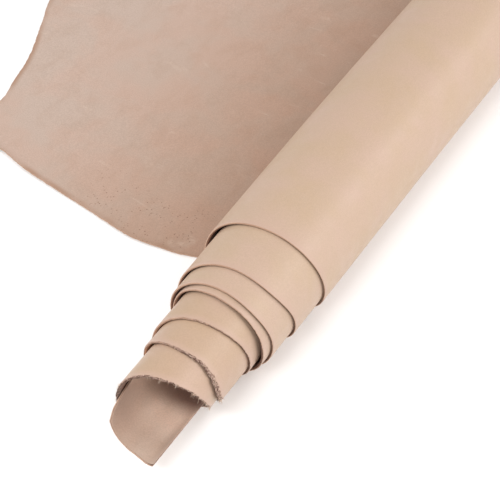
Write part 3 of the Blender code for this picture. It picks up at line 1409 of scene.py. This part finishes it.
@dataclass(frozen=True)
class CutFinish:
    """The raw cut edge: layered fibres, pale where the knife went clean and brown where frayed."""

    pale: Color = (0.520, 0.345, 0.250, 1.0)
    rose: Color = (0.455, 0.290, 0.208, 1.0)
    tan: Color = (0.360, 0.235, 0.190, 1.0)
    # Dark between the frayed clumps: darker fibres and painted shade.
    dark: Color = (0.085, 0.038, 0.026, 1.0)
    fleck: Color = (0.720, 0.540, 0.430, 1.0)
    # Beside the flesh face: the darker flesh side and painted shade.
    under: Color = (0.060, 0.028, 0.015, 1.0)
    clump: Mottle = Mottle(0.0022, 4.0, 0.7, 0.6)
    fine: Mottle = Mottle(0.0009, 2.0, 0.6)
    worn_ramp: Ramp = Ramp(0.44, 0.58)
    fleck_ramp: Ramp = Ramp(0.55, 0.62)
    clean_ramp: Ramp = Ramp(0.3, 0.7)
    fray_share: float = 0.6
    frayed_ramp: Ramp = Ramp(0.62, 0.80)
    edge_shade_ramp: Ramp = Ramp(0.3, 0.7, 0.7, 1.1)
    edge_shade_frayed: Ramp = Ramp(0.50, 0.95, 1.0, 0.15)
    dull_ramp: Ramp = Ramp(0.3, 0.7, 0.82, 0.95)
    clump_depth: float = 0.00035
    fine_depth: float = 0.00014
    shine: float = 0.2

    def material(self) -> bpy.types.Material:
        """Makes the cut edge's material.

        Returns:
            The material.
        """
        recipe = Recipe("cut_edge")
        place = recipe.object_place()
        fray = recipe.known(FRAY)
        clumps = recipe.noise(place, self.clump)
        fine = recipe.noise(place, self.fine)
        # Frayed: dark between clumps, darker fibres and painted shade, with tan clumps and pale flecks.
        worn = recipe.blend(recipe.rescale(clumps, self.worn_ramp), self.dark, self.tan)
        worn = recipe.blend(recipe.rescale(fine, self.fleck_ramp), worn, self.fleck)
        clean = recipe.blend(recipe.rescale(clumps, self.clean_ramp), self.pale, self.rose)
        frayed = recipe.join(Joined.SUM, clumps, recipe.product(fray, self.fray_share))
        color = recipe.blend(recipe.rescale(frayed, self.frayed_ramp), clean, worn)
        # Darker towards the flesh face: its darker flesh side and painted shade, less where frayed.
        under = recipe.product(
            recipe.known(EDGE_DARK_AND_SHADE),
            recipe.rescale(fine, self.edge_shade_ramp),
            recipe.rescale(fray, self.edge_shade_frayed),
        )
        color = recipe.blend(under, color, self.under)
        normal = recipe.relief(clumps, self.clump_depth)
        normal = recipe.relief(fine, self.fine_depth, normal)
        return recipe.finish(color, recipe.rescale(fine, self.dull_ramp), normal, self.shine)


@dataclass(frozen=True)
class FibreFinish:
    """The loose fibres: dull and pale, a little darker here and there."""

    name: str = "loose_fibre"
    pale: Color = (0.610, 0.450, 0.340, 1.0)
    tan: Color = (0.340, 0.215, 0.155, 1.0)
    patch: Mottle = Mottle(0.0035, 3.0, 0.6)
    patch_ramp: Ramp = Ramp(0.40, 0.62)
    grain: Mottle = Mottle(0.0004)
    grain_dull: Ramp = Ramp(0.3, 0.7, 0.8, 0.95)
    grain_depth: float = 0.00002
    shine: float = 0.2

    def material(self) -> bpy.types.Material:
        """Makes the fibres' material.

        Returns:
            The material.
        """
        recipe = Recipe(self.name)
        place = recipe.object_place()
        patch = recipe.patches(place, self.patch, self.patch_ramp)
        color = recipe.blend(patch, self.tan, self.pale)
        grain = recipe.noise(place, self.grain)
        normal = recipe.relief(grain, self.grain_depth)
        return recipe.finish(color, recipe.rescale(grain, self.grain_dull), normal, self.shine)


@dataclass
class FrayedEdge:
    """The loose fibres that stand out of the cut edge where it is frayed.

    They grow in clumps: none where soft noise is below bare, and thickest where it is above thick.
    The root, middle and tip are a fibre's bow, for a length of 1.
    """

    name: str = "loose_fibres"
    density: float = 1.7e6
    length: float = 0.0022
    radius: float = 0.000085
    spread: float = 0.95
    clump_size: float = 0.0038
    bare: float = 0.48
    thick: float = 0.70
    least_fray: float = 0.2
    shortest: float = 0.35
    longest: float = 1.35
    tip_width: float = 0.35
    sides: int = 3
    steps: int = 3
    root: Triple = (0.0, 0.0, -0.08)
    middle: Triple = (0.05, 0.0, 0.55)
    tip: Triple = (0.42, 0.12, 0.95)
    seed: int = 11

    def sizes(self) -> dict[str, float | int]:
        """What the node group's inputs are given.

        Returns:
            The value of each input but the mesh, by name.
        """
        return {
            "Density": self.density,
            "Length": self.length,
            "Radius": self.radius,
            "Spread": self.spread,
            "Clump Size": self.clump_size,
            "Bare": self.bare,
            "Thick": self.thick,
            "Shortest": self.shortest,
            "Longest": self.longest,
            "Seed": self.seed,
        }

    def bed(self, sheet: bpy.types.Object) -> bpy.types.Object:
        """The frayed part of the sheet's cut edge, as an object of its own.

        Args:
            sheet: The dressed sheet.

        Returns:
            The object on which the fibres are grown.
        """
        bed = put(self.name, sheet.data.copy())
        work = bmesh.new()
        work.from_mesh(bed.data)
        fray = work.verts.layers.float[FRAY]
        unwanted = [
            face
            for face in work.faces
            if face.material_index != Face.CUT or max(v[fray] for v in face.verts) < self.least_fray
        ]
        bmesh.ops.delete(work, geom=unwanted, context="FACES")
        work.to_mesh(bed.data)
        work.free()
        return bed

    def strand(self, nodes: Nodes, given: bpy.types.NodeOutputs) -> Socket:
        """One bowed fibre, thinner towards its tip.

        Args:
            nodes: The tree's nodes.
            given: The tree's inputs.

        Returns:
            The fibre's mesh.
        """
        bow = {"Resolution": self.steps, "Start": self.root, "Middle": self.middle, "End": self.tip}
        curve = nodes.node("GeometryNodeCurveQuadraticBezier", bow).outputs["Curve"]
        sized = nodes.node("GeometryNodeTransform", {"Geometry": curve, "Scale": given["Length"]})
        ring = nodes.node(
            "GeometryNodeCurvePrimitiveCircle", {"Resolution": self.sides, "Radius": given["Radius"]}
        )
        place = nodes.node("GeometryNodeSplineParameter").outputs["Factor"]
        taper = nodes.node(
            "ShaderNodeMapRange", {"Value": place, "To Min": 1.0, "To Max": self.tip_width}
        )
        parts = {
            "Curve": sized.outputs["Geometry"],
            "Profile Curve": ring.outputs["Curve"],
            "Scale": taper.outputs["Result"],
            "Fill Caps": True,
        }
        return nodes.node("GeometryNodeCurveToMesh", parts).outputs["Mesh"]

    def lean(self, nodes: Nodes, given: bpy.types.NodeOutputs, upright: Socket) -> Socket:
        """How each fibre stands: turned at random and leaning by up to the spread.

        Args:
            nodes: The tree's nodes.
            given: The tree's inputs.
            upright: How it would stand straight out of the edge.

        Returns:
            The fibre's rotation.
        """
        spread = given["Spread"]
        back = nodes.product(spread, -1.0)
        least = nodes.node("ShaderNodeCombineXYZ", {"X": back, "Y": back})
        most = nodes.node("ShaderNodeCombineXYZ", {"X": spread, "Y": spread, "Z": 2 * math.pi})
        angles = nodes.node(
            "FunctionNodeRandomValue",
            {"Min": least.outputs[0], "Max": most.outputs[0], "Seed": given["Seed"]},
            data_type="FLOAT_VECTOR",
        )
        turn = nodes.node("FunctionNodeEulerToRotation", {"Euler": angles.outputs["Value"]})
        stand = nodes.node(
            "FunctionNodeRotateRotation",
            {"Rotation": upright, "Rotate By": turn.outputs["Rotation"]},
            rotation_space="LOCAL",
        )
        return stand.outputs["Rotation"]

    def tree(self, material: bpy.types.Material) -> bpy.types.NodeTree:
        """The Geometry Nodes that grow the fibres.

        Args:
            material: What the fibres are given.

        Returns:
            The node group, with named inputs for its sizes and its seed.
        """
        tree = bpy.data.node_groups.new("grow_fibres", "GeometryNodeTree")
        tree.interface.new_socket("Geometry", in_out="INPUT", socket_type="NodeSocketGeometry")
        for name, size in self.sizes().items():
            kind = "NodeSocketInt" if isinstance(size, int) else "NodeSocketFloat"
            tree.interface.new_socket(name, in_out="INPUT", socket_type=kind)
        tree.interface.new_socket("Geometry", in_out="OUTPUT", socket_type="NodeSocketGeometry")
        nodes = Nodes(tree)
        given = nodes.node("NodeGroupInput").outputs

        known = nodes.node("GeometryNodeInputNamedAttribute", {"Name": FRAY}, data_type="FLOAT")
        fray = known.outputs["Attribute"]
        scale = nodes.join(Joined.RATIO, 1.0, given["Clump Size"])
        clump = nodes.node("ShaderNodeTexNoise", {"Scale": scale, "Detail": 1.0}).outputs["Fac"]
        thick = nodes.node(
            "ShaderNodeMapRange",
            {"Value": clump, "From Min": given["Bare"], "From Max": given["Thick"]},
            interpolation_type="SMOOTHSTEP",
        )
        density = nodes.product(thick.outputs["Result"], fray, given["Density"])
        roots = nodes.node(
            "GeometryNodeDistributePointsOnFaces",
            {"Mesh": given["Geometry"], "Density": density, "Seed": given["Seed"]},
        )
        growth = nodes.node(
            "FunctionNodeRandomValue",
            {"Min": given["Shortest"], "Max": given["Longest"], "Seed": given["Seed"]},
            data_type="FLOAT",
        )
        planted = nodes.node(
            "GeometryNodeInstanceOnPoints",
            {
                "Points": roots.outputs["Points"],
                "Instance": self.strand(nodes, given),
                "Rotation": self.lean(nodes, given, roots.outputs["Rotation"]),
                "Scale": nodes.product(growth.outputs["Value"], fray),
            },
        )
        real = nodes.node("GeometryNodeRealizeInstances", {"Geometry": planted.outputs[0]})
        finish = {"Geometry": real.outputs[0], "Material": material}
        dressed = nodes.node("GeometryNodeSetMaterial", finish)
        nodes.node("NodeGroupOutput", {"Geometry": dressed.outputs[0]})
        return tree

    def build(self, sheet: bpy.types.Object, material: bpy.types.Material) -> bpy.types.Object:
        """Grows the fibres and makes them a plain mesh.

        Args:
            sheet: The dressed sheet.
            material: The fibres' material.

        Returns:
            The fibres' object, at the origin.
        """
        bed = self.bed(sheet)
        grow = bed.modifiers.new("grow", "NODES")
        grow.node_group = self.tree(material)
        sizes = self.sizes()
        for item in grow.node_group.interface.items_tree:
            if item.in_out == "INPUT" and item.name in sizes:
                grow[item.identifier] = sizes[item.name]
        bpy.context.view_layer.update()
        graph = bpy.context.evaluated_depsgraph_get()
        grown = bpy.data.meshes.new_from_object(bed.evaluated_get(graph))
        bed.modifiers.remove(grow)
        bed.data = grown
        grown.name = self.name
        grown.shade_smooth()
        return bed


TUFTS = FrayedEdge(
    name="fibre_tufts",
    density=2.0e6,
    length=0.0036,
    radius=0.00019,
    spread=0.8,
    clump_size=0.0034,
    bare=0.60,
    least_fray=0.38,
    seed=23,
)
TUFT_FINISH = FibreFinish(
    name="tuft_fibre", pale=(0.780, 0.620, 0.500, 1.0), tan=(0.520, 0.370, 0.280, 1.0)
)


@dataclass(frozen=True)
class Softbox:
    """One large soft light: where it hangs, what it faces, and its size, power and colour."""

    name: str
    place: Triple
    aim: Triple
    width: float
    height: float
    power: float
    color: Triple = (1.0, 1.0, 1.0)

    def hang(self) -> bpy.types.Object:
        """Hangs the light in the scene.

        Returns:
            The light's object.
        """
        lamp = bpy.data.lights.new(self.name, "AREA")
        lamp.shape = "RECTANGLE"
        lamp.size = self.width
        lamp.size_y = self.height
        lamp.energy = self.power
        lamp.color = self.color
        light = put(self.name, lamp)
        light.location = self.place
        way = Vector(self.aim) - Vector(self.place)
        light.rotation_euler = way.to_track_quat("-Z", "Y").to_euler()
        return light


@dataclass(frozen=True)
class Studio:
    """A plain white floor, four soft lights in a pale room, and the camera at the photo's angle."""

    floor_size: float = 12.0
    floor_color: Color = (0.96, 0.96, 0.96, 1.0)
    floor_roughness: float = 0.9
    floor_shine: float = 0.1
    sky: float = 0.61
    eye: Triple = (0.9146, -1.4850, 1.5107)
    azimuth: float = 30.78
    elevation: float = 45.0
    lens: float = 161.9
    boxes: tuple[Softbox, ...] = (
        Softbox("key", (2.6, 0.4, 1.7), (0.1, 0.1, 0.0), 1.6, 3.0, 54.0),
        Softbox("gleam", (2.1, 1.7, 1.2), (0.1, -0.2, 0.06), 0.4, 0.4, 10.0, (1.0, 0.93, 0.97)),
        Softbox("wash", (-2.6, -0.4, 1.2), (0.0, 0.0, 0.0), 2.0, 1.6, 34.0),
        Softbox("front", (0.1, -2.2, 2.40), (0.0, 0.0, 0.0), 1.4, 0.9, 48.0),
    )

    def floor(self) -> bpy.types.Object:
        """Lays the floor on which the sheet lies.

        Returns:
            The floor's object.
        """
        half = self.floor_size / 2
        corners = [(-half, -half, 0.0), (half, -half, 0.0), (half, half, 0.0), (-half, half, 0.0)]
        data = bpy.data.meshes.new("floor")
        data.from_pydata(corners, [], [(0, 1, 2, 3)])
        recipe = Recipe("floor_paper")
        paper = {"Base Color": self.floor_color, "Roughness": self.floor_roughness}
        recipe.feed(recipe.shader, {**paper, "Specular IOR Level": self.floor_shine})
        data.materials.append(recipe.material)
        floor = put("floor", data)
        return floor

    def light(self) -> None:
        """Lights the scene, from its lights and from the pale room around it."""
        world = bpy.data.worlds.new("studio")
        world.use_nodes = True
        sky = world.node_tree.nodes["Background"]
        Nodes(world.node_tree).feed(sky, {"Color": (1.0, 1.0, 1.0, 1.0), "Strength": self.sky})
        bpy.context.scene.world = world
        for box in self.boxes:
            box.hang()

    def camera(self) -> bpy.types.Object:
        """Sets up the camera.

        Returns:
            The camera's object.
        """
        data = bpy.data.cameras.new("camera")
        data.lens = self.lens
        camera = put("camera", data)
        camera.location = self.eye
        tilt = math.radians(90.0 - self.elevation)
        camera.rotation_euler = (tilt, 0.0, math.radians(self.azimuth))
        bpy.context.scene.camera = camera
        return camera

    def build(self) -> None:
        """Makes the floor, the lights and the camera, with colours shown as they are."""
        self.floor()
        self.light()
        self.camera()
        bpy.context.scene.view_settings.view_transform = "Standard"


def frame_offset() -> Vector:
    """From the roll's own axes to the frame's.

    Returns:
        The offset, read from the CAD node's box.
    """
    lowest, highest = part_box(NODE)
    widest = max(turn.right for turn in TURNS)
    far = OUTLINE[-1].y
    return Vector((highest.x - widest, highest.y - far, lowest.z))


def main() -> None:
    """Builds every piece, ties it to the frame and reports it."""
    logging.basicConfig(level=logging.INFO, format="%(message)s")
    Studio().build()
    LOG.info("studio: floor, lights and camera")
    finishes = {
        Face.GRAIN: GrainFinish().material(),
        Face.FLESH: FleshFinish().material(),
        Face.CUT: CutFinish().material(),
    }
    sheet = LeatherSide().build(frame_offset(), finishes)
    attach(sheet, BODY)
    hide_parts(NODE)
    LOG.info("leather_sheet: %d faces", len(sheet.data.polygons))
    for edge, finish in ((FrayedEdge(), FibreFinish()), (TUFTS, TUFT_FINISH)):
        fibres = edge.build(sheet, finish.material())
        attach(fibres, BODY)
        LOG.info("%s: %d faces", edge.name, len(fibres.data.polygons))


if __name__ == "__main__":
    main()
